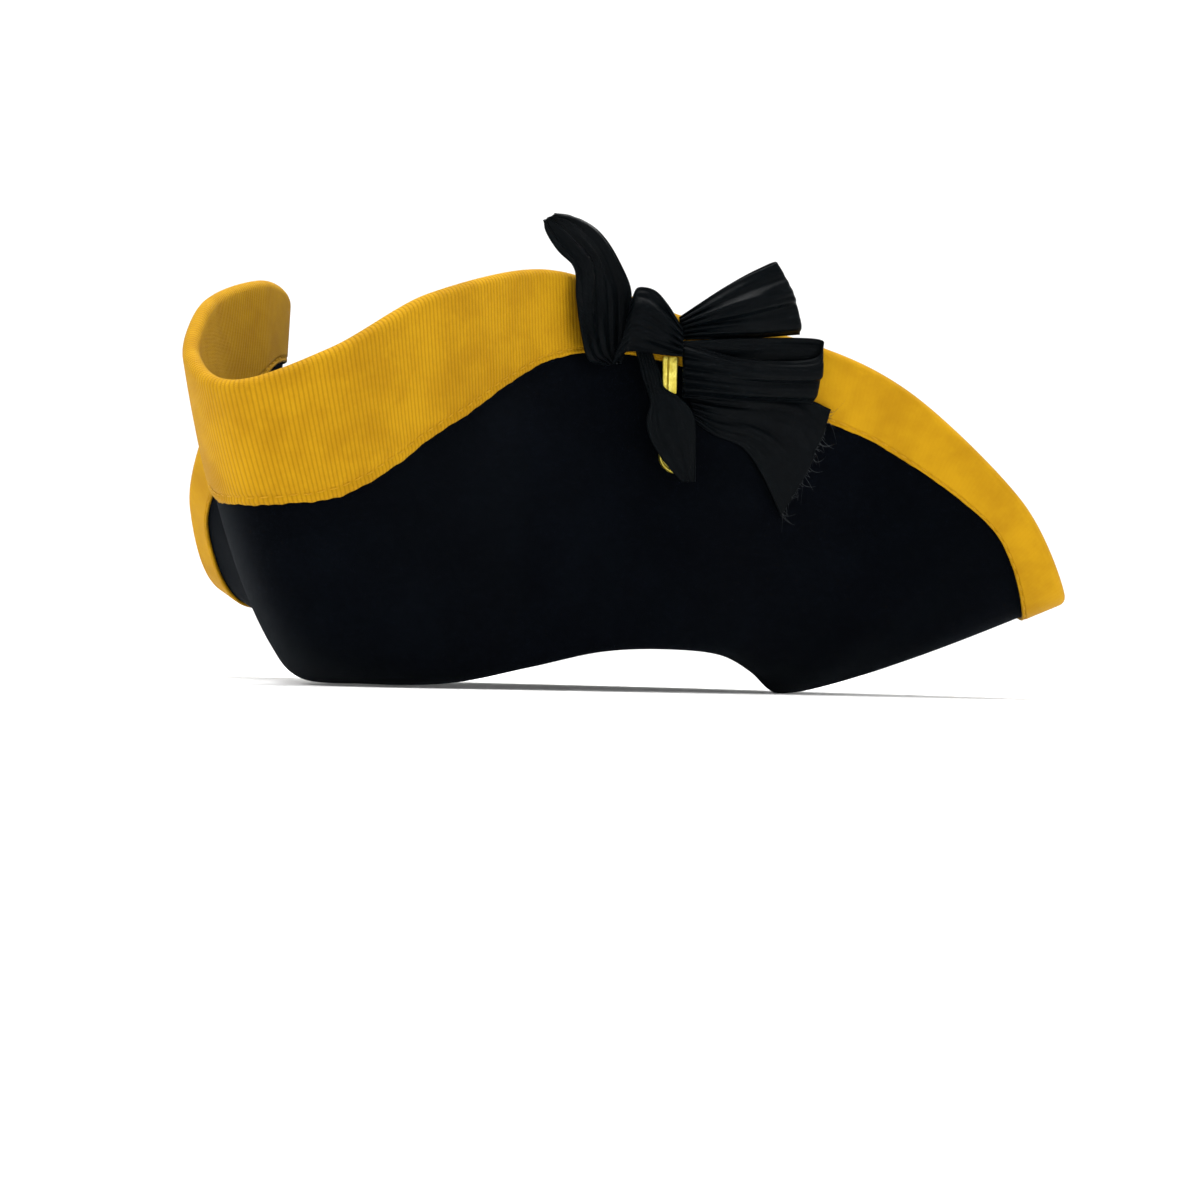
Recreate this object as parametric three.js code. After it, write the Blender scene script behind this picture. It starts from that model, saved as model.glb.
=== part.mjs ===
// A tricorn hat of black wool felt: the brim is turned up on three sides, bound with a wide ribbed
// band and dressed with a ribbon cockade on the wearer's left flap.
// Millimetres, +Z up. The front peak points to -Y and the wearer's left is +X. The origin lies on the
// surface that the hat rests on, below the middle of its outline.
import * as THREE from 'three';
import { mergeVertices } from 'three/addons/utils/BufferGeometryUtils.js';

// Felt body
const head_length = 195; // inside of the crown, front to back
const head_width = 160; // inside of the crown, side to side
const crown_height = 118; // outside, above the surface that the hat rests on
const felt_thickness = 2.6;
const brim_reach = 200; // from the crown's axis to the tip of the front peak
const flap_height = 134; // top of the side flaps above the resting surface
const fold_rise = 13; // height of the fold under a side flap above the resting surface

// Binding
const binding_width = 46; // widest, on the front of the side flaps
const binding_thickness = 1.2;
const seat_gap = 0.3; // between pieces that touch

// Cockade, on the wearer's left flap
const cockade_angle = 51; // degrees round from the front peak, where the knot lies
const cockade_drop = 22; // how far the knot lies below the top of the side flaps
const ribbon_thickness = 1.0;
const bow_reach = 45; // across the flap, from the knot to the end of the bow's loops
const tail_drop = 52; // down the flap, from the knot to the end of the tail
const crease_depth = 1.2; // of the pleats that run along the ribbons
const button_diameter = 12;
const button_thickness = 4.5;
const button_across = 2; // its middle, from the knot towards the back
const button_drop = 34; // and below it
const gilt_loop_width = 5.2;
const gilt_loop_length = 12;
const gilt_thickness = 1.6;
const gilt_loop_across = -0.3; // its middle, from the knot towards the back
const gilt_loop_drop = 7.6; // and below it

// Sections of the brim, in the upright plane at an angle from the front peak, the same on both sides.
// rim_reach and fold_reach: from the crown's axis, as shares of brim_reach. rim_height: share of
// flap_height. fold_height: share of fold_rise. roll: how far the fold runs level before it turns up,
// as a share of the way out to the rim. lean: outward tilt of the rim from upright, in degrees.
// binding: share of binding_width.
const brim_sections = [
  // angle, rim_reach, rim_height, fold_reach, fold_height, roll, lean, binding
  [0, 1.01, 0.675, 0.62, 0, 0.45, 18, 0.8],
  [8, 0.945, 0.755, 0.61, 0, 0.4, 15, 0.935],
  [15, 0.81, 0.9, 0.58, 0.1, 0.4, 8, 0.9],
  [26, 0.605, 0.995, 0.535, 0.5, 0.5, 2, 0.62],
  [40, 0.505, 0.97, 0.5, 0.95, 0.5, -2, 0.41],
  [56, 0.545, 0.895, 0.475, 1.05, 0.5, 4, 0.3],
  [73, 0.595, 0.865, 0.455, 0.9, 0.5, 14, 0.45],
  [88, 0.71, 0.745, 0.44, 0.4, 0.5, 32, 0.39],
  [98, 0.86, 0.49, 0.435, 0, 0.3, 50, 0.24],
  [107, 0.915, 0.27, 0.435, 0, 0.2, 66, 0.3],
  [118, 0.86, 0.36, 0.465, 0.75, 0.3, 54, 0.36],
  [136, 0.72, 0.62, 0.52, 1.1, 0.45, 30, 0.5],
  [158, 0.6, 0.86, 0.545, 1.1, 0.5, 10, 0.6],
  [180, 0.58, 0.92, 0.555, 1.1, 0.5, 3, 0.64],
].map(([angle, rim_reach, rim_height, fold_reach, fold_height, roll, lean, binding]) => (
  { angle, rim_reach, rim_height, fold_reach, fold_height, roll, lean, binding }
));

// Sections of the crown from its top down to the brim's break. reach: share of the head's oval.
// height: share of crown_height.
const crown_sections = [
  { reach: 0.0, height: 1.0 },
  { reach: 0.34, height: 0.988 },
  { reach: 0.6, height: 0.94 },
  { reach: 0.76, height: 0.86 },
  { reach: 0.87, height: 0.7 },
  { reach: 0.93, height: 0.5 },
  { reach: 0.97, height: 0.31 },
];
const break_height = 0.15; // where the crown turns into the brim, as a share of crown_height

const turn_steps = 72; // round the hat
const tip_crowding = 0.62; // how much closer the steps lie at the three tips
const roll_steps = 3; // from the break to the fold
const flap_steps = 5; // from the fold to the binding's lower edge
const binding_steps = 4; // from the binding's lower edge to the rim
const edge_steps = 3; // over the rim

const degrees = Math.PI / 180;

// A smooth curve through the rows of a table, mirrored at both ends of its angles.
function section_value(column, angle) {
  const rows = brim_sections;
  const last = rows.length - 1;
  const turned = ((angle % 360) + 360) % 360;
  const folded = turned > 180 ? 360 - turned : turned;
  let row = 0;
  while (row < last - 1 && folded > rows[row + 1].angle) row += 1;
  const at = (index) => {
    if (index < 0) return { angle: -rows[-index].angle, value: rows[-index][column] };
    if (index <= last) return { angle: rows[index].angle, value: rows[index][column] };
    const twin = rows[2 * last - index];
    return { angle: 360 - twin.angle, value: twin[column] };
  };
  const [before, from, to, after] = [at(row - 1), at(row), at(row + 1), at(row + 2)];
  const span = to.angle - from.angle;
  const share = (folded - from.angle) / span;
  const slope_from = ((to.value - before.value) / (to.angle - before.angle)) * span;
  const slope_to = ((after.value - from.value) / (after.angle - from.angle)) * span;
  const square = share * share;
  const cube = square * share;
  return (2 * cube - 3 * square + 1) * from.value + (cube - 2 * square + share) * slope_from
    + (3 * square - 2 * cube) * to.value + (cube - square) * slope_to;
}

// The head's oval, seen from above, to the middle of the felt.
function head_radius(angle) {
  const half_length = (head_length + felt_thickness) / 2;
  const half_width = (head_width + felt_thickness) / 2;
  return 1 / Math.hypot(Math.cos(angle * degrees) / half_length, Math.sin(angle * degrees) / half_width);
}

function bezier(points, share) {
  const [a, b, c, d] = points;
  const rest = 1 - share;
  const weights = [rest ** 3, 3 * rest * rest * share, 3 * rest * share * share, share ** 3];
  const blend = (axis) => [a, b, c, d].reduce((sum, point, index) => sum + weights[index] * point[axis], 0);
  return [blend(0), blend(1)];
}

// The brim's middle line at one angle, as [reach, height]: way 0 is the break, 1 the fold, 2 the rim,
// and past 2 it runs straight on, by (way - 2) times the flap's height.
function brim_line(angle, way) {
  const start = [head_radius(angle), crown_height * break_height];
  const value = (column) => section_value(column, angle);
  const fold = [value('fold_reach') * brim_reach, value('fold_height') * fold_rise + felt_thickness / 2];
  const rim = [value('rim_reach') * brim_reach, value('rim_height') * flap_height];
  const lean = value('lean') * degrees;
  if (way <= 1) {
    const drop = start[1] - fold[1];
    const out = fold[0] - start[0];
    return bezier([start, [start[0], start[1] - drop * 0.6], [fold[0] - out * 0.55, fold[1]], fold], way);
  }
  const span = Math.hypot(rim[0] - fold[0], rim[1] - fold[1]);
  const level = Math.max((rim[0] - fold[0]) * value('roll'), felt_thickness * 3);
  const handle = span * 0.45;
  const near_rim = [rim[0] - Math.sin(lean) * handle, rim[1] - Math.cos(lean) * handle];
  if (way <= 2) return bezier([fold, [fold[0] + level, fold[1]], near_rim, rim], way - 1);
  const beyond = (way - 2) * flap_height;
  return [rim[0] + Math.sin(lean) * beyond, rim[1] + Math.cos(lean) * beyond];
}

function upright_point(angle, [reach, height]) {
  return new THREE.Vector3(
    Math.sin(angle * degrees) * reach,
    -Math.cos(angle * degrees) * reach,
    height,
  );
}

const brim_point = (angle, way) => upright_point(angle, brim_line(angle, way));

// How far along the brim's line the binding reaches: share 0 is the rim and 1 the binding's lower edge.
function binding_way(angle, share) {
  const width = share * section_value('binding', angle) * binding_width;
  const step = 0.01;
  let way = 2;
  let covered = 0;
  while (covered < width) {
    covered += brim_point(angle, way).distanceTo(brim_point(angle, way - step));
    way -= step;
  }
  const last_step = brim_point(angle, way + step).distanceTo(brim_point(angle, way));
  return way + (step * (covered - width)) / last_step;
}

// The direction out of the brim, away from the crown, worked out from two short steps on its surface.
function brim_normal(angle, way) {
  const step = 0.02;
  const along = brim_point(angle, way + step).sub(brim_point(angle, way - step));
  const round = brim_point(angle + 1, way).sub(brim_point(angle - 1, way));
  return round.cross(along).normalize();
}

function brim_offset(angle, way, distance) {
  return brim_point(angle, way).addScaledVector(brim_normal(angle, way), distance);
}

// A closed solid from a grid of points. rings run round the object and close on themselves; the first
// and last may be single points.
function ring_solid(rings, closed) {
  const positions = [];
  const index = [];
  const starts = rings.map((ring) => {
    const start = positions.length / 3;
    ring.forEach((point) => positions.push(point.x, point.y, point.z));
    return start;
  });
  const pairs = closed ? rings.length : rings.length - 1;
  for (let row = 0; row < pairs; row += 1) {
    const next = (row + 1) % rings.length;
    const count = Math.max(rings[row].length, rings[next].length);
    for (let column = 0; column < count; column += 1) {
      const a = starts[row] + (column % rings[row].length);
      const b = starts[row] + ((column + 1) % rings[row].length);
      const c = starts[next] + ((column + 1) % rings[next].length);
      const d = starts[next] + (column % rings[next].length);
      const corners = [a, b, c, d].map((corner) => new THREE.Vector3().fromArray(positions, corner * 3));
      if (corners[0].distanceTo(corners[2]) <= corners[1].distanceTo(corners[3])) {
        if (a !== b) index.push(a, b, c);
        if (c !== d) index.push(a, c, d);
      } else {
        if (a !== b) index.push(a, b, d);
        if (c !== d) index.push(b, c, d);
      }
    }
  }
  const geometry = new THREE.BufferGeometry();
  geometry.setAttribute('position', new THREE.Float32BufferAttribute(positions, 3));
  geometry.setIndex(index);
  return mergeVertices(geometry, 1e-4);
}

// The steps round the hat lie closer at the tips, which stand about a third of a turn apart.
const turn_angles = Array.from({ length: turn_steps }, (_, step) => {
  const even = (360 * step) / turn_steps;
  const lobe = (even <= 180 ? even : even - 360) / 120;
  const shift = Math.sin(lobe * 2 * Math.PI) * (tip_crowding * 120) / (2 * Math.PI);
  return even - shift;
});

// Crown and brim: one skin outside, one inside, joined over the rim.
function felt_body() {
  const half = felt_thickness / 2;
  const oval = (angle, section, grow) => {
    const reach = head_radius(angle) * section.reach + grow * Math.sqrt(section.reach);
    return upright_point(angle, [reach, section.height * crown_height + grow * (1 - section.reach)]);
  };
  const crown_ring = (section, grow) => (section.reach === 0
    ? [upright_point(0, [0, crown_height - half + grow])]
    : turn_angles.map((angle) => oval(angle, section, grow)));
  const to_middle = 1 - half / crown_height;
  const middle = crown_sections.map(({ reach, height }) => ({ reach, height: height * to_middle }));
  const roll_way = (step) => () => step / roll_steps;
  const flap_way = (step) => (angle) => 1 + ((binding_way(angle, 1) - 1) * step) / flap_steps;
  const bound_way = (step) => (angle) => binding_way(angle, 1 - step / binding_steps);
  const brim_ways = [
    ...Array.from({ length: roll_steps }, (_, step) => roll_way(step)),
    ...Array.from({ length: flap_steps }, (_, step) => flap_way(step)),
    ...Array.from({ length: binding_steps + 1 }, (_, step) => bound_way(step)),
  ];
  const brim_ring = (way, side) => turn_angles.map((angle) => brim_offset(angle, way(angle), side));
  const brim_rings = (side) => brim_ways.map((way) => brim_ring(way, side));
  const outside = [...middle.map((section) => crown_ring(section, half)), ...brim_rings(-half)];
  const inside = [...middle.map((section) => crown_ring(section, -half)), ...brim_rings(half)];
  return ring_solid([...inside, ...outside.reverse()], false);
}

// The binding: a band folded over the rim, with an outer and an inner skin.
function brim_binding() {
  const near = felt_thickness / 2 + seat_gap;
  const far = near + binding_thickness;
  const fold_over = (angle, distance, turn) => {
    const rim = brim_point(angle, 2);
    const normal = brim_normal(angle, 2);
    const up = rim.clone().sub(brim_point(angle, 1.96)).normalize();
    rim.addScaledVector(normal, distance * Math.cos(turn));
    return rim.addScaledVector(up, distance * Math.sin(turn));
  };
  const side_rings = (distance) => Array.from({ length: binding_steps }, (_, step) => {
    const share = 1 - step / binding_steps;
    return turn_angles.map((angle) => brim_offset(angle, binding_way(angle, share), distance));
  });
  const edge_rings = (distance) => Array.from({ length: edge_steps + 1 }, (_, step) => {
    const turn = (Math.PI * step) / edge_steps;
    return turn_angles.map((angle) => fold_over(angle, distance, turn));
  });
  const skin = (distance) => [
    ...side_rings(distance), ...edge_rings(distance), ...side_rings(-distance).reverse(),
  ];
  return ring_solid([...skin(far), ...skin(near).reverse()], true);
}

// A place on the wearer's left flap: across is measured level towards the back and up from the knot, and
// out is the distance from the face below it, felt or binding, and the gap that the cockade keeps to it.
function on_flap(across, up, out) {
  const level = section_value('rim_reach', cockade_angle) * brim_reach;
  const angle = cockade_angle + across / level / degrees;
  const height = flap_height - cockade_drop + up;
  let low = 1.3;
  let high = 2.6;
  for (let halving = 0; halving < 24; halving += 1) {
    const middle = (low + high) / 2;
    if (brim_line(angle, middle)[1] < height) low = middle;
    else high = middle;
  }
  const bound = THREE.MathUtils.smoothstep(low, binding_way(angle, 1) - 0.07, binding_way(angle, 1) - 0.02);
  const face = felt_thickness / 2 + seat_gap + bound * (binding_thickness + seat_gap);
  return brim_offset(angle, low, face + out);
}

// Turns a mesh so that its X runs across the flap, its Y up and its Z out of it.
function set_on_flap(mesh, across, up, out) {
  const origin = on_flap(across, up, out);
  const level = on_flap(across + 1, up, out).sub(origin).normalize();
  const outward = on_flap(across, up, out + 1).sub(origin).normalize();
  const upward = outward.clone().cross(level).normalize();
  const axes = new THREE.Matrix4().makeBasis(upward.clone().cross(outward), upward, outward);
  mesh.quaternion.setFromRotationMatrix(axes);
  mesh.position.copy(origin);
  return mesh;
}

// A closed sheet of cloth: its middle surface is place(along, side), both from 0 to 1. It has a face on
// each side of that surface, and its four edges close it.
function sheet_solid(place, along_steps, side_steps, thickness) {
  const positions = [];
  const index = [];
  const step = 0.004;
  const corner = (face, row, column) => (face * (along_steps + 1) + row) * (side_steps + 1) + column;
  [1, -1].forEach((face) => {
    for (let row = 0; row <= along_steps; row += 1) {
      for (let column = 0; column <= side_steps; column += 1) {
        const [along, side] = [row / along_steps, column / side_steps];
        const forward = place(along + step, side).sub(place(along - step, side));
        const sideways = place(along, side + step).sub(place(along, side - step));
        const normal = forward.cross(sideways).normalize();
        const point = place(along, side).addScaledVector(normal, (face * thickness) / 2);
        positions.push(point.x, point.y, point.z);
      }
    }
  });
  const quad = (a, b, c, d) => index.push(a, b, c, a, c, d);
  for (let row = 0; row < along_steps; row += 1) {
    for (let column = 0; column < side_steps; column += 1) {
      const around = [[row, column], [row + 1, column], [row + 1, column + 1], [row, column + 1]];
      quad(...around.map(([r, c]) => corner(0, r, c)));
      quad(...around.reverse().map(([r, c]) => corner(1, r, c)));
    }
  }
  const edge = (from, to) => {
    quad(corner(0, ...to), corner(0, ...from), corner(1, ...from), corner(1, ...to));
  };
  for (let row = 0; row < along_steps; row += 1) {
    edge([row, 0], [row + 1, 0]);
    edge([row + 1, side_steps], [row, side_steps]);
  }
  for (let column = 0; column < side_steps; column += 1) {
    edge([0, column + 1], [0, column]);
    edge([along_steps, column], [along_steps, column + 1]);
  }
  const geometry = new THREE.BufferGeometry();
  geometry.setAttribute('position', new THREE.Float32BufferAttribute(positions, 3));
  geometry.setIndex(index);
  return geometry;
}

// The cockade's ribbons. Their rows run along the ribbon. low and high are its two edges: across is a
// share of bow_reach and up a share of tail_drop, both from the knot. rise: how high the low edge, the
// middle and the high edge stand off the face below, as shares of the ribbon's clearance, which is one
// layer of ribbon, or the button for the strap. creases: how many run along the ribbon, on the upper half
// only where it is a loop. bow: how far the middle runs ahead of the edges, as a share.
const layer = ribbon_thickness + 2 * seat_gap;
const over_button = button_thickness + 2 * seat_gap;
const ribbon_rows = (rows) => rows.map((row) => {
  const [low_across, low_up, high_across, high_up, low_rise, middle_rise, high_rise] = row;
  return { low_across, low_up, high_across, high_up, low_rise, middle_rise, high_rise };
});
const ribbons = {
  upper_ribbon: {
    loop: true, creases: 2.5, bow: 0.04, clearance: layer,
    rows: ribbon_rows([
      [0.051, 0.085, 0.049, 0.223, 0, 0, 0],
      [0.467, 0.119, 0.353, 0.448, 0.1, 0.2, 0.1],
      [0.809, 0.163, 0.604, 0.592, 0.2, 0.4, 0.2],
      [0.867, 0.167, 0.647, 0.608, 0.8, 1.3, 0.8],
      [0.804, 0.162, 0.596, 0.588, 1.4, 2.9, 1.6],
      [0.453, 0.115, 0.342, 0.446, 1.3, 4.4, 1.5],
      [0.053, 0.081, 0.049, 0.219, 1.1, 1.5, 1.1],
    ]),
  },
  middle_ribbon: {
    loop: true, creases: 2, bow: 0.02, clearance: layer,
    rows: ribbon_rows([
      [0.076, -0.277, 0.062, 0.069, 1.2, 1.8, 2.8],
      [0.489, -0.269, 0.442, 0.117, 1.2, 1.8, 2.8],
      [0.942, -0.25, 0.92, 0.156, 1.2, 1.9, 2.8],
      [0.991, -0.256, 0.987, 0.119, 2, 3.2, 3.6],
      [0.938, -0.252, 0.911, 0.023, 2.8, 5, 4.2],
      [0.464, -0.275, 0.42, -0.012, 2.6, 5.8, 4.4],
      [0.076, -0.285, 0.062, 0.056, 2.3, 2.9, 3.6],
    ]),
  },
  tail_ribbon: {
    loop: false, creases: 1, bow: 0.02, clearance: layer,
    rows: ribbon_rows([
      [0.178, -0.433, 0.107, -0.235, 0, 0, 0],
      [0.34, -0.51, 0.333, -0.238, 0, 0.1, 0],
      [0.58, -0.581, 0.704, -0.231, 0.3, 0.5, 0.1],
      [0.762, -0.754, 0.993, -0.242, 0.9, 1.2, 0.2],
      [0.951, -1, 1.149, -0.29, 1.2, 1.6, 0.7],
    ]),
  },
  curl_ribbon: {
    loop: false, creases: 0, bow: 0.07, clearance: layer,
    rows: ribbon_rows([
      [0.062, -0.029, 0.062, 0.15, 4.15, 4.5, 3.8],
      [-0.06, -0.025, -0.024, 0.29, 3.1, 5.2, 3.4],
      [-0.204, -0.015, -0.118, 0.379, 2.4, 5.6, 3.8],
      [-0.382, -0.019, -0.251, 0.388, 2.3, 5.5, 3.8],
      [-0.533, -0.104, -0.311, 0.327, 2.5, 4.2, 3.2],
    ]),
  },
  ear_ribbon: {
    loop: false, creases: 0, bow: 0, clearance: layer,
    rows: ribbon_rows([
      [-0.556, -0.108, -0.4, -0.085, 1.1, 0.9, 0.7],
      [-0.747, -0.081, -0.338, 0.09, 2.8, 1.1, 0.6],
      [-0.831, 0.096, -0.307, 0.277, 3.2, 1.1, 0.8],
      [-0.851, 0.3, -0.333, 0.427, 2.2, 1.2, 0.9],
      [-0.856, 0.481, -0.498, 0.588, 1.4, 2.4, 1.4],
      [-0.969, 0.581, -0.696, 0.737, 1.4, 3.3, 1.6],
      [-1.058, 0.677, -0.867, 0.802, 2, 3.4, 1.8],
      [-1.084, 0.744, -1.009, 0.806, 2.4, 2.7, 2.2],
    ]),
  },
  strap_ribbon: {
    loop: false, creases: 0, bow: 0, clearance: over_button,
    rows: ribbon_rows([
      [-0.269, 0.023, -0.147, 0.023, 0.08, 0.08, 0.08],
      [-0.22, -0.142, -0.082, -0.127, 0.56, 0.57, 0.56],
      [-0.173, -0.258, -0.049, -0.225, 0.76, 0.78, 0.76],
      [-0.153, -0.338, 0.049, -0.285, 0.92, 0.95, 0.92],
      [-0.189, -0.448, 0.138, -0.379, 1, 1.05, 1],
      [-0.162, -0.556, 0.156, -0.502, 1, 1.06, 1],
      [-0.076, -0.675, 0.16, -0.619, 1, 1.06, 1],
      [0.071, -0.819, 0.162, -0.81, 1, 1.02, 1],
    ]),
  },
};

// A value between the rows of a table whose rows are evenly spaced, smoothly.
function row_value(rows, column, share) {
  const place = Math.min(Math.max(share, 0), 1) * (rows.length - 1);
  const row = Math.min(Math.floor(place), rows.length - 2);
  const value = (index) => rows[Math.min(Math.max(index, 0), rows.length - 1)][column];
  const part = place - row;
  const [a, b, c, d] = [value(row - 1), value(row), value(row + 1), value(row + 2)];
  const slope = (c - a) / 2;
  const bend = a - 2.5 * b + 2 * c - d / 2;
  const twist = (3 * b - a - 3 * c + d) / 2;
  return b + part * (slope + part * (bend + part * twist));
}

// One ribbon: a loop goes out along the flap, turns, and comes back above itself.
function ribbon_sheet({ loop, creases, bow, clearance, rows }) {
  const place = (along, side) => {
    const value = (column) => row_value(rows, column, along);
    const between = (low, high) => value(low) + (value(high) - value(low)) * side;
    const across = between('low_across', 'high_across') * (1 + bow * Math.sin(Math.PI * side));
    const rise = value('low_rise') * (1 - side) * (1 - 2 * side)
      + value('middle_rise') * 4 * side * (1 - side) + value('high_rise') * side * (2 * side - 1);
    const shown = loop ? Math.max(0, -Math.sin(2 * Math.PI * along)) : along;
    const crease = (shown * (1 - Math.cos(2 * Math.PI * creases * side))) / 2;
    const out = ribbon_thickness / 2 + rise * clearance + crease * crease_depth;
    return on_flap(across * bow_reach, between('low_up', 'high_up') * tail_drop, out);
  };
  return sheet_solid(place, loop ? 18 : 10, clearance === layer ? 8 : 4, ribbon_thickness);
}

// The button: domed, with a turned rim, its back against the flap.
function gilt_button() {
  const radius = button_diameter / 2;
  const profile = [
    [0, 0], [radius * 0.7, 0], [radius, button_thickness * 0.3], [radius, button_thickness * 0.5],
    [radius * 0.84, button_thickness * 0.74], [radius * 0.5, button_thickness * 0.94],
    [0, button_thickness],
  ];
  const points = profile.map(([reach, height]) => new THREE.Vector2(reach, height));
  const turned = new THREE.LatheGeometry(points, 16);
  turned.rotateX(Math.PI / 2);
  return turned;
}

// The gilt bar: a narrow and a wide strip with a groove between them.
function gilt_loop() {
  const half = gilt_loop_width / 2;
  const groove = gilt_loop_width * 0.08;
  const middle = -gilt_loop_width * 0.12;
  const outline = [
    [-half, 0], [half, 0], [half, gilt_thickness], [middle + groove, gilt_thickness],
    [middle, gilt_thickness * 0.55], [middle - groove, gilt_thickness], [-half, gilt_thickness],
  ];
  const section = new THREE.Shape(outline.map(([across, out]) => new THREE.Vector2(across, out)));
  const bar = new THREE.ExtrudeGeometry(section, { depth: gilt_loop_length, bevelEnabled: false });
  bar.rotateX(Math.PI / 2);
  bar.translate(0, gilt_loop_length / 2, 0);
  return bar;
}

const felt = { color: 0x0b0e13, roughness: 0.95, metalness: 0 };
const mustard = { color: 0xd4a119, roughness: 0.8, metalness: 0 };
const satin = { color: 0x0a0b0d, roughness: 0.4, metalness: 0 };
const gilt = { color: 0xd8c24a, roughness: 0.3, metalness: 1 };

function piece(name, geometry, look) {
  const mesh = new THREE.Mesh(geometry, new THREE.MeshStandardMaterial(look));
  mesh.name = name;
  return mesh;
}

const hat = new THREE.Group();
hat.add(piece('felt_body', felt_body(), felt));
hat.add(piece('brim_binding', brim_binding(), mustard));
Object.entries(ribbons).forEach(([name, ribbon]) => hat.add(piece(name, ribbon_sheet(ribbon), satin)));
hat.add(set_on_flap(piece('gilt_button', gilt_button(), gilt), button_across, -button_drop, seat_gap));
hat.add(set_on_flap(piece('gilt_loop', gilt_loop(), gilt), gilt_loop_across, -gilt_loop_drop, seat_gap / 2));

// The hat was shaped round the crown's axis: it is moved so that it rests on the surface at Z 0 with
// the middle of its outline over the origin.
const outline = new THREE.Box3().setFromObject(hat, true);
const middle = outline.getCenter(new THREE.Vector3());
hat.position.set(-middle.x, -middle.y, -outline.min.z);

export default hat;
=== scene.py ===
# %% [markdown]
# This scene dresses a tricorn hat of black wool felt. The brim is turned up on three sides, so from above
# the hat is a triangle with its front peak towards -Y. A wide ribbed mustard band is folded over the brim's
# edge, and a cockade of black satin ribbon sits on the wearer's left flap, towards +X, with a gilt button
# and a gilt bar half hidden under a strap of ribbon.
#
# The solid model is the frame: every piece made here takes its place and size from it.

# %% Load the frame
import math

import bpy
import numpy as np
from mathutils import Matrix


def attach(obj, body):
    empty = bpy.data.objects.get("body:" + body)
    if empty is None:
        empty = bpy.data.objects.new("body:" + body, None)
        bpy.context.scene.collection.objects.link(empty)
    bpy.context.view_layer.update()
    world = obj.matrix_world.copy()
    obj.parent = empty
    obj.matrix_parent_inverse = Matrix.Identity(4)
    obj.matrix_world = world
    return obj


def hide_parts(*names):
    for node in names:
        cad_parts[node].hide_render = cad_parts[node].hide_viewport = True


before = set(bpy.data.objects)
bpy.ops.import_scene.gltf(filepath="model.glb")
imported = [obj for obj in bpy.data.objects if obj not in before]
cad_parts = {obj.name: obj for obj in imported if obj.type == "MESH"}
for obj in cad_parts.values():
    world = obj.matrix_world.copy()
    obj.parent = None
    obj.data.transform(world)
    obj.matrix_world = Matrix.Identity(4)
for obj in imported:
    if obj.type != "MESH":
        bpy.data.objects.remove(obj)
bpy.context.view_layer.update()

# %% [markdown]
# The camera comes first. It looks at the hat from the wearer's left front, level and close to the surface
# that the hat stands on. It is a long lens about 1.2 metres away, so the near corner of the brim looks a
# little larger than the far one. The lens is shifted to frame the hat, because tilting the camera instead
# would make upright lines lean.

# %% Camera
CAMERA_TURN = math.radians(28.8)  # from straight ahead of the hat, towards its left
CAMERA_DISTANCE = 1.183
CAMERA_HEIGHT = 0.012
CAMERA_ROLL = math.radians(-1.35)  # the view is a little out of level
AXIS = np.array([0.0, 0.04293, 0.0008])  # foot of the crown's axis, in the frame

lens = bpy.data.cameras.new("camera")
lens.lens = 98.1  # millimetres, on a sensor 36 millimetres wide
lens.sensor_width = 36
lens.shift_x = 0.047
lens.shift_y = 0.045
lens.clip_start = 0.005  # the lens is close to the floor, which must not be cut away in front of it
camera = bpy.data.objects.new("camera", lens)
camera.location = (
    AXIS[0] + math.sin(CAMERA_TURN) * CAMERA_DISTANCE,
    AXIS[1] - math.cos(CAMERA_TURN) * CAMERA_DISTANCE,
    CAMERA_HEIGHT,
)
camera.rotation_euler = (math.pi / 2, CAMERA_ROLL, CAMERA_TURN)
bpy.context.scene.collection.objects.link(camera)
bpy.context.scene.camera = camera
print("camera at", [round(x, 3) for x in camera.location])

# %% [markdown]
# The brim is the hat's main shape. Seen in an upright plane through the crown's axis, its line leaves the
# crown at the break, rolls through a low fold and climbs to the rim. The places of the fold and the rim
# change round the hat, and that change is what makes the three flaps and the three corners. A short table
# holds them at fourteen angles from the front peak, as shares of the main sizes, and both sides are alike.
# A flat disc bent by a cloth simulation would give a brim too, but not these three flaps. The solid model
# is made from the same table, so both have one shape.

# %% Sizes and sections of the hat
OPENING_LENGTH, OPENING_WIDTH = 0.195, 0.160  # inside the crown's foot, front to back and side to side
CROWN_HEIGHT = 0.118
FELT = 0.0026  # thickness
BRIM_REACH = 0.200
FLAP_HEIGHT = 0.134
FOLD_RISE = 0.013
BREAK_HEIGHT = 0.15  # share of the crown's height
BINDING_WIDTH = 0.046
BINDING = 0.0012  # thickness
SEAT_GAP = 0.0003
HAND_WAVE = 0.0004  # half the height of the waves that hand shaping leaves in the flaps

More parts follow.
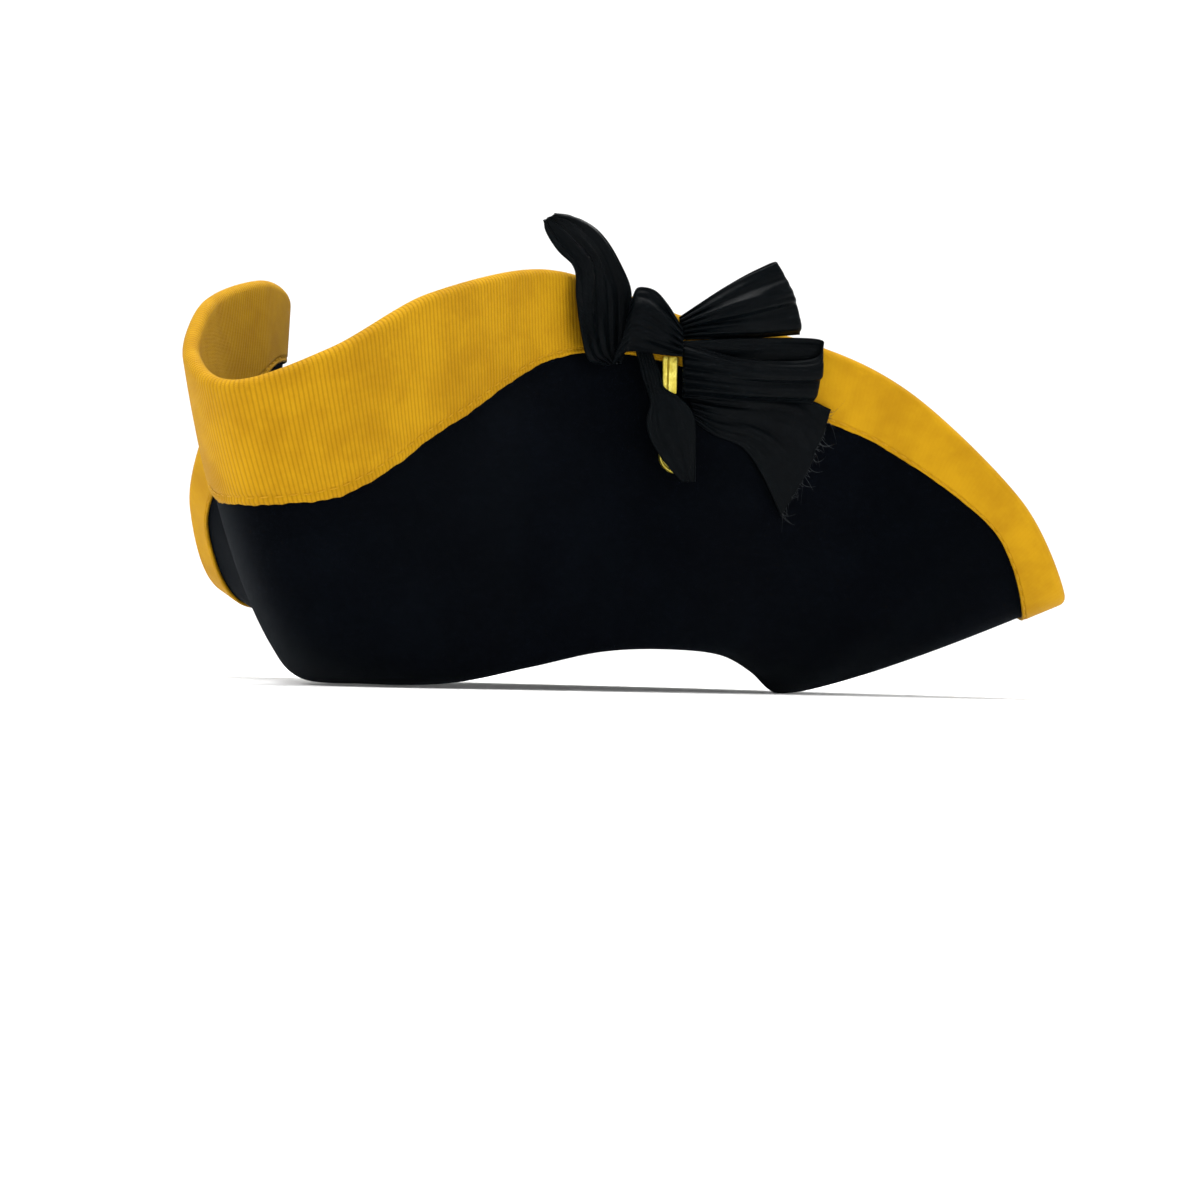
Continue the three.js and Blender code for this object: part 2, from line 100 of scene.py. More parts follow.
SECTIONS = {
    "angle": [0, 8, 15, 26, 40, 56, 73, 88, 98, 107, 118, 136, 158, 180],
    "rim_reach": [1.01, 0.945, 0.81, 0.605, 0.505, 0.545, 0.595, 0.71, 0.86, 0.915, 0.86, 0.72, 0.6, 0.58],
    "rim_height": [0.675, 0.755, 0.9, 0.995, 0.97, 0.895, 0.865, 0.745, 0.49, 0.27, 0.36, 0.62, 0.86, 0.92],
    "fold_reach": [0.62, 0.61, 0.58, 0.535, 0.5, 0.475, 0.455, 0.44, 0.435, 0.435, 0.465, 0.52, 0.545, 0.555],
    "fold_height": [0, 0, 0.1, 0.5, 0.95, 1.05, 0.9, 0.4, 0, 0, 0.75, 1.1, 1.1, 1.1],
    "roll": [0.45, 0.4, 0.4, 0.5, 0.5, 0.5, 0.5, 0.5, 0.3, 0.2, 0.3, 0.45, 0.5, 0.5],
    "lean": [18, 15, 8, 2, -2, 4, 14, 32, 50, 66, 54, 30, 10, 3],
    "binding": [0.8, 0.935, 0.9, 0.62, 0.41, 0.3, 0.45, 0.39, 0.24, 0.3, 0.36, 0.5, 0.6, 0.64],
}
CROWN = {
    "reach": [0, 0.34, 0.6, 0.76, 0.87, 0.93, 0.97, 1.0],
    "height": [1, 0.988, 0.94, 0.86, 0.7, 0.5, 0.31, BREAK_HEIGHT],
}
print(len(SECTIONS["angle"]), "sections from the front peak to the back")


# %% Read the tables smoothly
def smooth(places, values, at):
    """A cubic through the values. At each place its slope is that between the two neighbours."""
    places, values, at = (np.asarray(x, float) for x in (places, values, at))
    slopes = np.gradient(values, places)
    slopes[1:-1] = (values[2:] - values[:-2]) / (places[2:] - places[:-2])
    row = np.clip(np.searchsorted(places, at, side="right") - 1, 0, len(places) - 2)
    span = places[row + 1] - places[row]
    t = (at - places[row]) / span
    return (
        (2 * t**3 - 3 * t**2 + 1) * values[row]
        + (t**3 - 2 * t**2 + t) * slopes[row] * span
        + (3 * t**2 - 2 * t**3) * values[row + 1]
        + (t**3 - t**2) * slopes[row + 1] * span
    )


def section(column, angle):
    """The column at an angle in degrees, which is folded so that both sides of the hat are alike."""
    angles = SECTIONS["angle"]
    values = SECTIONS[column]
    folded = np.abs((np.asarray(angle, float) + 180) % 360 - 180)
    mirrored = [-a for a in angles[:0:-1]] + angles + [360 - a for a in angles[-2::-1]]
    return smooth(mirrored, values[:0:-1] + values + values[-2::-1], folded)


def crown_radius(angle):
    """The crown's oval: one over the root of the summed squares of cosine and sine over the half lengths."""
    turn = np.radians(angle)
    half_length, half_width = (OPENING_LENGTH + FELT) / 2, (OPENING_WIDTH + FELT) / 2
    return 1 / np.hypot(np.cos(turn) / half_length, np.sin(turn) / half_width)


print("rim reach at the peak", round(float(section("rim_reach", 0)) * BRIM_REACH, 3), "m")


# %% [markdown]
# The roll from the break to the fold is a Bezier curve with four points, and so is the line from the fold
# to the rim. A number called way runs along both: 0 is the break, 1 the fold and 2 the rim. Past 2 the
# line runs straight on, which gives ribbons that stand above the rim something to follow. Felt that was
# shaped by hand is never quite even, so a few long waves, under a millimetre high, run through the flaps.

# %% The brim as a surface
def bezier(a, b, c, d, t):
    """The cubic Bezier curve: each point is weighed by its share of (1 - t + t) cubed."""
    return (1 - t) ** 3 * a + 3 * (1 - t) ** 2 * t * b + 3 * (1 - t) * t**2 * c + t**3 * d


def brim_line(angle, way):
    """Reach and height of the brim's middle at an angle and a way, for whole arrays."""
    angle, way = np.broadcast_arrays(np.asarray(angle, float), np.asarray(way, float))
    start = np.array([crown_radius(angle), np.full(angle.shape, CROWN_HEIGHT * BREAK_HEIGHT)])
    fold_height = section("fold_height", angle) * FOLD_RISE + FELT / 2
    fold = np.array([section("fold_reach", angle) * BRIM_REACH, fold_height])
    rim = np.array([section("rim_reach", angle) * BRIM_REACH, section("rim_height", angle) * FLAP_HEIGHT])
    lean = np.radians(section("lean", angle))
    rise = np.array([np.sin(lean), np.cos(lean)])
    level = np.array([np.maximum((rim[0] - fold[0]) * section("roll", angle), FELT * 3), 0 * way])
    down = np.array([0 * way, (fold[1] - start[1]) * 0.6])
    back = np.array([(fold[0] - start[0]) * 0.55, 0 * way])
    roll = bezier(start, start + down, fold - back, fold, np.clip(way, 0, 1))
    under_rim = rim - rise * np.hypot(*(rim - fold)) * 0.45
    flap = bezier(fold, fold + level, under_rim, rim, np.clip(way - 1, 0, 1))
    return np.where(way <= 1, roll, flap) + rise * np.maximum(way - 2, 0) * FLAP_HEIGHT


def upright(angle, reach, height):
    """A point at a reach from the crown's axis: x is its sine, and -y its cosine, of the angle."""
    turn = np.radians(angle)
    return np.stack([np.sin(turn) * reach, -np.cos(turn) * reach, height + 0 * turn], axis=-1) + AXIS


def unit(vectors):
    """Each vector divided by its length."""
    return vectors / np.maximum(np.linalg.norm(vectors, axis=-1, keepdims=True), 1e-12)


def hand_waves(angle, way):
    """Three sines round and up the brim, faded in from the fold to the rim."""
    turn = np.radians(angle)
    waves = np.sin(5 * turn + 1.3) * np.sin(2.3 * way + 0.4) + 0.6 * np.sin(11 * turn + 2.2 * way)
    waves = waves + 0.35 * np.sin(23 * turn - 3.1 * way + 0.8)
    return HAND_WAVE * waves * np.clip(way - 1, 0, 1)


def brim(angle, way, out=0.0):
    """The brim's surface, moved out by a distance along the cross product of its two directions."""
    along = upright(angle, *brim_line(angle, way + 0.02)) - upright(angle, *brim_line(angle, way - 0.02))
    around = upright(angle + 1, *brim_line(angle + 1, way)) - upright(angle - 1, *brim_line(angle - 1, way))
    moved = np.asarray(out) + hand_waves(angle, way)
    return upright(angle, *brim_line(angle, way)) + unit(np.cross(around, along)) * moved[..., None]


def band_way(angle, share):
    """The way at which the band ends: the length walked back from the rim is a share of its width."""
    angle, share = np.broadcast_arrays(np.asarray(angle, float), np.asarray(share, float))
    ways = np.linspace(2, 0.8, 97)
    points = np.moveaxis(np.asarray(brim_line(angle[..., None], ways)), 0, -1)
    steps = np.linalg.norm(np.diff(points, axis=-2), axis=-1)
    walked = np.concatenate([np.zeros(angle.shape + (1,)), np.cumsum(steps, axis=-1)], axis=-1)
    width = (share * section("binding", angle) * BINDING_WIDTH)[..., None]
    row = np.clip(np.sum(walked <= width, axis=-1, keepdims=True) - 1, 0, len(ways) - 2)
    low, high = np.take_along_axis(walked, row, -1), np.take_along_axis(walked, row + 1, -1)
    return (ways[row] + (ways[row + 1] - ways[row]) * (width - low) / (high - low))[..., 0]


print("the band ends at way", np.round(band_way(np.array([0.0, 8, 40, 107, 180]), 1.0), 3))


# %% [markdown]
# Every new piece here is a grid of points, so one helper turns a grid into a mesh. It can close the grid
# round its columns, round its rows, or both, and it gives each face corner its place on the cloth as a
# UV map. The map is in metres, so a weave has the same scale on every piece.

# %% From a grid of points to a mesh
def grid_corners(rows, columns, wrap_rows, wrap_columns):
    """For each square of a grid, the row and the column of its four corners, before any wrapping."""
    row, column = np.meshgrid(
        np.arange(rows - (not wrap_rows)), np.arange(columns - (not wrap_columns)), indexing="ij"
    )
    row, column = row.ravel()[:, None], column.ravel()[:, None]
    return row + np.array([0, 0, 1, 1]), column + np.array([0, 1, 1, 0])


def put_mesh(name, points, corners, sizes, uv):
    """A mesh object from points, the corners of its faces one after another, and a UV for each corner."""
    mesh = bpy.data.meshes.new(name)
    mesh.vertices.add(len(points))
    mesh.vertices.foreach_set("co", np.asarray(points, np.float32).ravel())
    mesh.loops.add(len(corners))
    mesh.loops.foreach_set("vertex_index", np.asarray(corners, np.int32))
    mesh.polygons.add(len(sizes))
    mesh.polygons.foreach_set("loop_start", np.concatenate([[0], np.cumsum(sizes)[:-1]]).astype(np.int32))
    mesh.polygons.foreach_set("use_smooth", np.ones(len(sizes), bool))
    mesh.update(calc_edges=True)
    layer = mesh.uv_layers.new(name="cloth")
    layer.data.foreach_set("uv", np.asarray(uv, np.float32).ravel())
    mesh.validate()
    piece = bpy.data.objects.new(name, mesh)
    bpy.context.scene.collection.objects.link(piece)
    return piece


def grid_piece(name, points, uv, wrap_rows=False, wrap_columns=False):
    """A mesh from a grid of points. uv has one more row or column than points where the grid wraps."""
    rows, columns = points.shape[:2]
    row, column = grid_corners(rows, columns, wrap_rows, wrap_columns)
    corners = (row % rows) * columns + column % columns
    corner_uv = uv[row, column].reshape(-1, 2)
    return put_mesh(name, points.reshape(-1, 3), corners.ravel(), np.full(len(row), 4), corner_uv)


def capped_tube(name, points, corner_uv):
    """A mesh from a grid of points that closes round its columns, with one face over each end."""
    rows, columns = points.shape[:2]
    row, column = grid_corners(rows, columns, False, True)
    walls = row * columns + column % columns
    caps = [np.arange(columns), (np.arange(columns) + (rows - 1) * columns)[::-1]]
    corners = np.concatenate([walls.ravel(), *caps])
    sizes = np.concatenate([np.full(len(walls), 4), [columns, columns]])
    return put_mesh(name, points.reshape(-1, 3), corners, sizes, corner_uv.reshape(-1, 2)[corners])


def outward_volume(piece):
    """The sum over triangles of a . (b x c) / 6, which is positive where the faces point outwards."""
    piece.data.calc_loop_triangles()
    points = np.empty(len(piece.data.vertices) * 3)
    piece.data.vertices.foreach_get("co", points)
    corners = np.empty(len(piece.data.loop_triangles) * 3, np.int64)
    piece.data.loop_triangles.foreach_get("vertices", corners)
    a, b, c = (points.reshape(-1, 3)[corners.reshape(-1, 3)[:, i]] for i in range(3))
    return float(np.einsum("ij,ij->i", a, np.cross(b, c)).sum() / 6)


def tell(piece):
    """Prints what a piece measures."""
    volume = round(outward_volume(piece) * 1e6, 4)
    print(piece.name, len(piece.data.polygons), "faces, volume", volume, "cm3")


print("grid helpers ready")


# %% [markdown]
# The felt body is one hood of felt: it was steamed over a block for the crown, and the brim was turned up
# by hand. So it is one closed skin here too. The inside and the outside are the same surface moved by half
# the felt's thickness each way, and a half round joins them over the rim. A Solidify modifier would do
# that as well, but with the formula each later piece can be laid on either side of the felt. The steps
# round the hat lie closer together at the three corners, where the felt bends most.

# %% Felt body
def turn_angles(count):
    """Angles round the hat, with each third of a turn squeezed towards its ends by a sine."""
    even = np.arange(count) * 360 / count
    lobe = np.where(even <= 180, even, even - 360) / 120
    return even - np.sin(lobe * 2 * np.pi) * (0.62 * 120) / (2 * np.pi)


def crown(angle, share, out):
    """The crown at a share of the way from its top to the break: the oval scaled by the table's reach."""
    rows = np.linspace(0, 1, len(CROWN["reach"]))
    reach = smooth(rows, CROWN["reach"], share)
    height = smooth(rows, CROWN["height"], share) * (CROWN_HEIGHT - FELT / 2 * (1 - share))
    inset = out * np.sqrt(np.clip(reach, 0, 1))
    return upright(angle, crown_radius(angle) * reach - inset, height - out * (1 - reach))


def rim_arc(angle, distance, turns):
    """Over the rim: the distance times cosine out of the flap and times sine along its last direction."""
    rim = brim(angle, 2.0 + 0 * angle)
    up = unit(rim - brim(angle, 1.96 + 0 * angle))
    out = unit(brim(angle, 2.0 + 0 * angle, 1.0 + 0 * angle) - rim)
    turns = turns[:, None, None]
    return rim + distance * (out * np.cos(turns) + up * np.sin(turns))


def felt_body():
    """The underside from the crown's top down and out to the rim, the arc, and the upper side back."""
    angle = turn_angles(288)
    crown_rows = np.linspace(0.03, 1, 26)[:-1, None] + 0 * angle
    low_end = band_way(angle, 1.0)
    brim_rows = np.concatenate([
        np.linspace(0 * angle, 1 + 0 * angle, 14)[:-1],
        np.linspace(1 + 0 * angle, low_end, 24)[:-1],
        np.linspace(low_end, 2 + 0 * angle, 16),
    ])
    skins = [
        np.concatenate([crown(angle, crown_rows, out), brim(angle + 0 * brim_rows, brim_rows, out)])
        for out in (FELT / 2, -FELT / 2)
    ]
    arc = rim_arc(angle, FELT / 2, np.linspace(0, np.pi, 7)[1:-1])
    rings = np.concatenate([skins[0], arc, skins[1][::-1]])
    poles = [AXIS + [0, 0, CROWN_HEIGHT - FELT], AXIS + [0, 0, CROWN_HEIGHT]]
    rows, columns = rings.shape[:2]
    row, column = grid_corners(rows, columns, False, True)
    squares = row * columns + column % columns
    here, next_one = np.arange(columns), (np.arange(columns) + 1) % columns
    first, last = rows * columns, rows * columns + 1
    low_cap = np.stack([np.full(columns, first), next_one, here], axis=-1)
    high_cap = np.stack([np.full(columns, last), here, next_one], axis=-1)
    high_cap[:, 1:] += (rows - 1) * columns
    corners = np.concatenate([squares.ravel(), low_cap.ravel(), high_cap.ravel()])
    sizes = np.concatenate([np.full(len(squares), 4), np.full(2 * columns, 3)])
    points = np.concatenate([rings.reshape(-1, 3), poles])
    uv = points[corners][:, :2]
    return put_mesh("felt_shell", points, corners, sizes, uv)


felt_shell = felt_body()
tell(felt_shell)


# %% [markdown]
# The binding is a wide ribbed band, folded over the rim and stretched round it while damp, then sewn down
# near its lower edges. Colouring the edge of the felt would be quicker, but a real band stands proud of it
# and its edge catches the light. So it is a closed strip with a round nose at the rim. Both lower edges
# thin out to a selvedge, a groove runs where the stitches pull it in, and the edges wander by a few tenths
# of a millimetre, as hand-laid edges do. The UV map follows the rim's length, because the ribs cross it.

# %% Brim binding
RIB = 0.00145  # from one rib to the next
SEAM_SHARE = 0.93  # where the stitches run, as a share of the band's width
SEAM_DEPTH = 0.0005  # of the groove that the stitches pull in
RAGGED = 0.006  # how far the cut edge wanders, as a share of the band's width


def rim_length(angle):
    """The length along the rim from the front peak, summed over a fine walk and read at the angles."""
    fine = np.linspace(-10, 370, 3041)
    steps = np.linalg.norm(np.diff(brim(fine, 1.9 + 0 * fine), axis=0), axis=-1)
    walked = np.concatenate([[0], np.cumsum(steps)])
    return np.interp(angle, fine, walked - np.interp(0, fine, walked))


def ragged(angle, side):
    """A share of the width by which the edge wanders: three sines of uneven pace."""
    turn = np.radians(angle)
    wander = np.sin(61 * turn + side) + 0.7 * np.sin(143 * turn + 2 * side) + 0.6 * np.sin(307 * turn)
    return RAGGED * wander


def band_skin(angle, side, shares):
    """Outer or inner skin of the band, from its lower edge to the rim, with the seam's groove."""
    share = shares[:, None] * (1 + ragged(angle, side)[None, :] * shares[:, None] ** 4)
    way = band_way(angle[None, :] + 0 * share, share)
    groove = np.exp(-(((share - SEAM_SHARE) / 0.022) ** 2)) * SEAM_DEPTH
    selvedge = np.clip((1.0 - share) / 0.03, 0, 1) ** 0.5 * 0.4 + 0.6
    stands = FELT / 2 + SEAT_GAP + BINDING * selvedge - groove
    return brim(angle[None, :] + 0 * share, way, side * stands)


def brim_binding():
    """The outer skin up to the rim, a nose over it, the inner skin down, and the backs of both skins."""
    angle = turn_angles(960)
    shares = np.concatenate([np.linspace(1, 0.86, 10)[:-1], np.linspace(0.86, 0.05, 14)])
    outer, inner = band_skin(angle, 1, shares), band_skin(angle, -1, shares)
    nose = rim_arc(angle, FELT / 2 + SEAT_GAP + BINDING, np.linspace(0, np.pi, 11))
    way = band_way(angle[None, :], np.array([[1.0], [0.6], [0.05]]))
    outer_back, inner_back = (
        brim(angle[None, :] + 0 * way, way, side * (FELT / 2 + SEAT_GAP)) for side in (1, -1)
    )
    rings = np.concatenate([outer, nose, inner[::-1], inner_back, outer_back[::-1]])
    shown = rings[: len(outer) + len(nose) + len(inner)]
    across = np.linalg.norm(np.diff(shown, axis=0), axis=-1).mean(axis=1)
    across = np.concatenate([[0], np.cumsum(across), np.zeros(len(rings) - len(across))])
    around = rim_length(np.append(angle, 360.0))
    ribs = round(around[-1] / RIB)
    uv = np.stack(np.broadcast_arrays(around[None, :] / around[-1] * ribs * RIB, across[:, None]), axis=-1)
    return grid_piece("ribbed_band", rings, uv, wrap_rows=True, wrap_columns=True)


ribbed_band = brim_binding()
tell(ribbed_band)
print("rim", round(float(rim_length(360.0)), 3), "m round")

# %% [markdown]
# The cockade lies on the wearer's left flap, so its pieces are placed by how far they lie across and up
# from the knot, and how far out of the flap they stand. A place is found on the brim by halving: the way
# is narrowed down until the brim's line there has the wanted height.

# %% Places on the left flap
KNOT_ANGLE = 51  # degrees round from the front peak
KNOT_HEIGHT = FLAP_HEIGHT - 0.022


def smoothstep(value, low, high):
    """0 below low, 1 above high, and 3 t squared minus 2 t cubed between them."""
    t = np.clip((value - low) / (high - low), 0, 1)
    return t * t * (3 - 2 * t)


def on_flap(across, up, out):
    """A point at (across, up) from the knot, out from the face below it, which is felt or binding."""
    across, up, out = np.broadcast_arrays(*(np.asarray(x, float) for x in (across, up, out)))
    angle = KNOT_ANGLE + np.degrees(across / (section("rim_reach", KNOT_ANGLE) * BRIM_REACH))
    low, high = np.full(angle.shape, 1.3), np.full(angle.shape, 2.6)
    for _ in range(20):
        middle = (low + high) / 2
        below = brim_line(angle, middle)[1] < KNOT_HEIGHT + up
        low, high = np.where(below, middle, low), np.where(below, high, middle)
    edge = band_way(angle, 1.0)
    bound = smoothstep(low, edge - 0.07, edge - 0.02)
    return brim(angle, low, FELT / 2 + SEAT_GAP + bound * (BINDING + SEAT_GAP) + out)


def lattice_noise(x, y, seed):
    """Random heights from -1 to 1 on a square lattice, joined by smoothsteps both ways."""
    heights = np.random.default_rng(seed).uniform(-1, 1, (64, 64))
    column, row = np.floor(x).astype(int), np.floor(y).astype(int)
    right, top = smoothstep(x - column, 0, 1), smoothstep(y - row, 0, 1)
    a, b = heights[row % 64, column % 64], heights[row % 64, (column + 1) % 64]
    c, d = heights[(row + 1) % 64, column % 64], heights[(row + 1) % 64, (column + 1) % 64]
    return (a * (1 - right) + b * right) * (1 - top) + (c * (1 - right) + d * right) * top


print("the knot lies at", np.round(on_flap(0, 0, 0), 4))


# %% [markdown]
# Each ribbon of the cockade is a sheet of satin. Its middle surface is a function of how far along the
# ribbon and how far across it a point lies. The sheet gets a face on each side of that surface, half the
# ribbon's thickness away, and closed edges, so it has the body of a real ribbon when light grazes it. A
# simulated ribbon would fall into folds of its own, and these were set by hand, so they are written down.

# %% A sheet of satin
SATIN = 0.0005  # thickness


def satin_sheet(name, place, rows, columns):
    """A closed sheet about place(along, side), both from 0 to 1, moved out and in along its normal."""
    along, side = np.meshgrid(np.linspace(0, 1, rows), np.linspace(0, 1, columns), indexing="ij")
    middle = place(along, side)
    normal = unit(np.cross(np.gradient(middle, axis=0), np.gradient(middle, axis=1)))
    ring = np.concatenate([middle - normal * SATIN / 2, (middle + normal * SATIN / 2)[:, ::-1]], axis=1)
    wide = ring.shape[1]
    row, column = grid_corners(rows, wide, False, True)
    walls = row * wide + column % wide
    step = np.arange(columns - 1)
    start = np.stack([step, wide - 1 - step, wide - 2 - step, step + 1], axis=-1)
    end = (start + (rows - 1) * wide)[:, ::-1]
    corners = np.concatenate([walls, start, end]).ravel()
    length = np.concatenate([[0], np.linalg.norm(np.diff(middle, axis=0), axis=-1).mean(axis=1).cumsum()])
    width = np.concatenate([[0], np.linalg.norm(np.diff(middle, axis=1), axis=-1).mean(axis=0).cumsum()])
    both_faces = np.concatenate([width, width[::-1]])
    uv = np.stack(np.broadcast_arrays(length[:, None], both_faces[None, :]), axis=-1)
    sizes = np.full(len(corners) // 4, 4)
    piece = put_mesh(name, ring.reshape(-1, 3), corners, sizes, uv.reshape(-1, 2)[corners])
    area = np.linalg.norm(np.cross(*(np.gradient(middle, axis=i) for i in (0, 1))), axis=-1).sum() * 1e4
    print(name, round(length[-1] * 1000), "by", round(width[-1] * 1000), "mm,", round(area, 1), "cm2")
    return piece


# %% [markdown]
# The cockade is one ribbon laid to and fro: two loops, one above the other, a cut tail, a curl on the
# other side of the knot, an end that stands up, and a strap that crosses the button. Each has a table
# whose rows run along the ribbon. A row gives the low edge and the high edge, across and up from the knot,
# and how high the low edge, the middle and the high edge stand off the face below. A loop goes out along
# the flap, turns, and comes back above itself, so its first rows lie under its last ones.

# %% Ribbon tables
BOW_REACH = 0.045  # across the flap, from the knot to the end of the loops
TAIL_DROP = 0.052  # down the flap, from the knot to the end of the tail
BUTTON_DIAMETER, BUTTON_THICKNESS = 0.012, 0.0045
RIBBON_LAYER = 0.0016
OVER_BUTTON = BUTTON_THICKNESS + 2 * SEAT_GAP

# low across, low up, high across, high up, low rise, middle rise, high rise
RIBBONS = {
    "upper_loop": [
        [0.051, 0.085, 0.049, 0.223, 0, 0, 0],
        [0.467, 0.119, 0.353, 0.448, 0.1, 0.2, 0.1],
        [0.809, 0.163, 0.604, 0.592, 0.2, 0.4, 0.2],
        [0.867, 0.167, 0.647, 0.608, 0.8, 1.3, 0.8],
        [0.804, 0.162, 0.596, 0.588, 1.4, 2.9, 1.6],
        [0.453, 0.115, 0.342, 0.446, 1.3, 4.4, 1.5],
        [0.053, 0.081, 0.049, 0.219, 1.1, 1.5, 1.1],
    ],
    "middle_loop": [
        [0.076, -0.277, 0.062, 0.069, 1.2, 1.8, 2.8],
        [0.489, -0.269, 0.442, 0.117, 1.2, 1.8, 2.8],
        [0.942, -0.25, 0.92, 0.156, 1.2, 1.9, 2.8],
        [0.991, -0.256, 0.987, 0.119, 2, 3.2, 3.6],
        [0.938, -0.252, 0.911, 0.023, 2.8, 5, 4.2],
        [0.464, -0.275, 0.42, -0.012, 2.6, 5.8, 4.4],
        [0.076, -0.285, 0.062, 0.056, 2.3, 2.9, 3.6],
    ],
    "cut_tail": [
        [0.178, -0.433, 0.107, -0.235, 0, 0, 0],
        [0.34, -0.51, 0.333, -0.238, 0, 0.1, 0],
        [0.58, -0.581, 0.704, -0.231, 0.3, 0.5, 0.1],
        [0.762, -0.754, 0.993, -0.242, 0.9, 1.2, 0.2],
        [0.951, -1, 1.149, -0.29, 1.2, 1.6, 0.7],
    ],
    "curled_loop": [
        [0.062, -0.029, 0.062, 0.15, 4.15, 4.5, 3.8],
        [-0.06, -0.025, -0.024, 0.29, 3.1, 5.2, 3.4],
        [-0.204, -0.015, -0.118, 0.379, 2.4, 5.6, 3.8],
        [-0.382, -0.019, -0.251, 0.388, 2.3, 5.5, 3.8],
        [-0.533, -0.104, -0.311, 0.327, 2.5, 4.2, 3.2],
    ],
    "standing_end": [
        [-0.556, -0.108, -0.4, -0.085, 1.1, 0.9, 0.7],
        [-0.747, -0.081, -0.338, 0.09, 2.8, 1.1, 0.6],
        [-0.831, 0.096, -0.307, 0.277, 3.2, 1.1, 0.8],
        [-0.851, 0.3, -0.333, 0.427, 2.2, 1.2, 0.9],
        [-0.856, 0.481, -0.498, 0.588, 1.4, 2.4, 1.4],
        [-0.969, 0.581, -0.696, 0.737, 1.4, 3.3, 1.6],
        [-1.058, 0.677, -0.867, 0.802, 2, 3.4, 1.8],
        [-1.084, 0.744, -1.009, 0.806, 2.4, 2.7, 2.2],
    ],
    "button_strap": [
        [-0.269, 0.023, -0.147, 0.023, 0.08, 0.08, 0.08],
        [-0.22, -0.142, -0.082, -0.127, 0.56, 0.57, 0.56],
        [-0.173, -0.258, -0.049, -0.225, 0.76, 0.78, 0.76],
        [-0.153, -0.338, 0.049, -0.285, 0.92, 0.95, 0.92],
        [-0.189, -0.448, 0.138, -0.379, 1, 1.05, 1],
        [-0.162, -0.556, 0.156, -0.502, 1, 1.06, 1],
        [-0.076, -0.675, 0.16, -0.619, 1, 1.06, 1],
        [0.071, -0.819, 0.162, -0.81, 1, 1.02, 1],
    ],
}
print("ribbon tables with", sum(len(rows) for rows in RIBBONS.values()), "rows")


# %% [markdown]
# Between the rows every column runs smoothly, and across the ribbon the height is the parabola through its
# three rises. Onto that go creases, which run along the ribbon and are deepest where it is gathered, and
# fine crumples from the noise, drawn out along the ribbon so that they look like folds and not like grain.

# %% Ribbons
SEAT = 0.0005  # from the face below to the middle of a ribbon that lies on it
CREASE_DEPTH = 0.0016


def ribbon_place(name, creases, bow, seed, clearance=RIBBON_LAYER, crumple=0.0009):
    """A ribbon's middle surface: its table's edges and rises, with creases and crumples on top."""
    table = np.array(RIBBONS[name])
    loop = name in ("upper_loop", "middle_loop")

    def place(along, side):
        at = np.clip(along, 0, 1) * (len(table) - 1)
        row = [smooth(np.arange(len(table)), column, at) for column in table.T]
        across = (row[0] + (row[2] - row[0]) * side) * (1 + bow * np.sin(np.pi * side))
        up = row[1] + (row[3] - row[1]) * side
        rise = row[4] * (1 - side) * (1 - 2 * side) + row[5] * 4 * side * (1 - side)
        rise = rise + row[6] * side * (2 * side - 1)
        reach = np.clip(2 * (1 - along), 0, 1) if loop else along
        shown = np.maximum(0, -np.sin(2 * np.pi * along)) if loop else along
        wave = 2 * np.pi * creases * side
        crease = (1 - np.cos(wave + 0.5 * np.sin(wave))) / 2
        bent = side + 0.05 * lattice_noise(along * 3, side * 2, seed + 7)
        folds = lattice_noise(bent * 7 + seed, along * 1.7, seed)
        folds = folds + 0.5 * lattice_noise(bent * 17, along * 3.3, seed + 1)
        gathers = np.sin(2 * np.pi * 5.5 * bent + seed) * np.exp(-((reach / 0.35) ** 2))
        out = SEAT + rise * clearance + CREASE_DEPTH * shown * crease
        out = out + crumple * (folds * smoothstep(reach, 0, 0.4) + 0.7 * gathers * (1 - reach))
        return on_flap(across * BOW_REACH, up * TAIL_DROP, np.maximum(out, SATIN / 2))

    return place


tail_place = ribbon_place("cut_tail", creases=1, bow=0.02, seed=5)
upper_loop = satin_sheet("upper_loop", ribbon_place("upper_loop", creases=2.5, bow=0.04, seed=3), 121, 72)
middle_loop = satin_sheet("middle_loop", ribbon_place("middle_loop", creases=2, bow=0.02, seed=4), 121, 72)
cut_tail = satin_sheet("cut_tail", tail_place, 72, 72)
curled_loop = satin_sheet("curled_loop", ribbon_place("curled_loop", creases=0, bow=0.07, seed=6), 72, 64)
standing_end = satin_sheet("standing_end", ribbon_place("standing_end", creases=0, bow=0, seed=11), 90, 48)
strap_place = ribbon_place("button_strap", creases=0, bow=0, seed=12, clearance=OVER_BUTTON, crumple=0.0003)
button_strap = satin_sheet("button_strap", strap_place, 72, 36)

# %% [markdown]
# The gilt button is turned: a domed face inside a rope-like rim. The gilt bar above it is a short length of
# metal braid, two strips with a groove between them. A Screw modifier could turn the button, but not the
# twists of its rim, which are a ripple in the formula. Both are worked out flat and then set on the flap.

# %% Gilt button and gilt bar
BUTTON_ACROSS, BUTTON_DROP = 0.002, 0.034  # its middle, from the knot
BAR_WIDTH, BAR_LENGTH, BAR_THICKNESS = 0.0052, 0.012, 0.0016
BAR_ACROSS, BAR_DROP = -0.0003, 0.0076  # its middle, from the knot


def set_on_flap(points, across, up, out):
    """Turns flat points so that x runs across the flap, y up it and z out of it, at a place on it."""
    origin = on_flap(across, up, out)
    level = unit(on_flap(across + 0.001, up, out) - origin)
    outward = unit(on_flap(across, up, out + 0.001) - origin)
    upward = unit(np.cross(outward, level))
    return points @ np.array([np.cross(upward, outward), upward, outward]) + origin


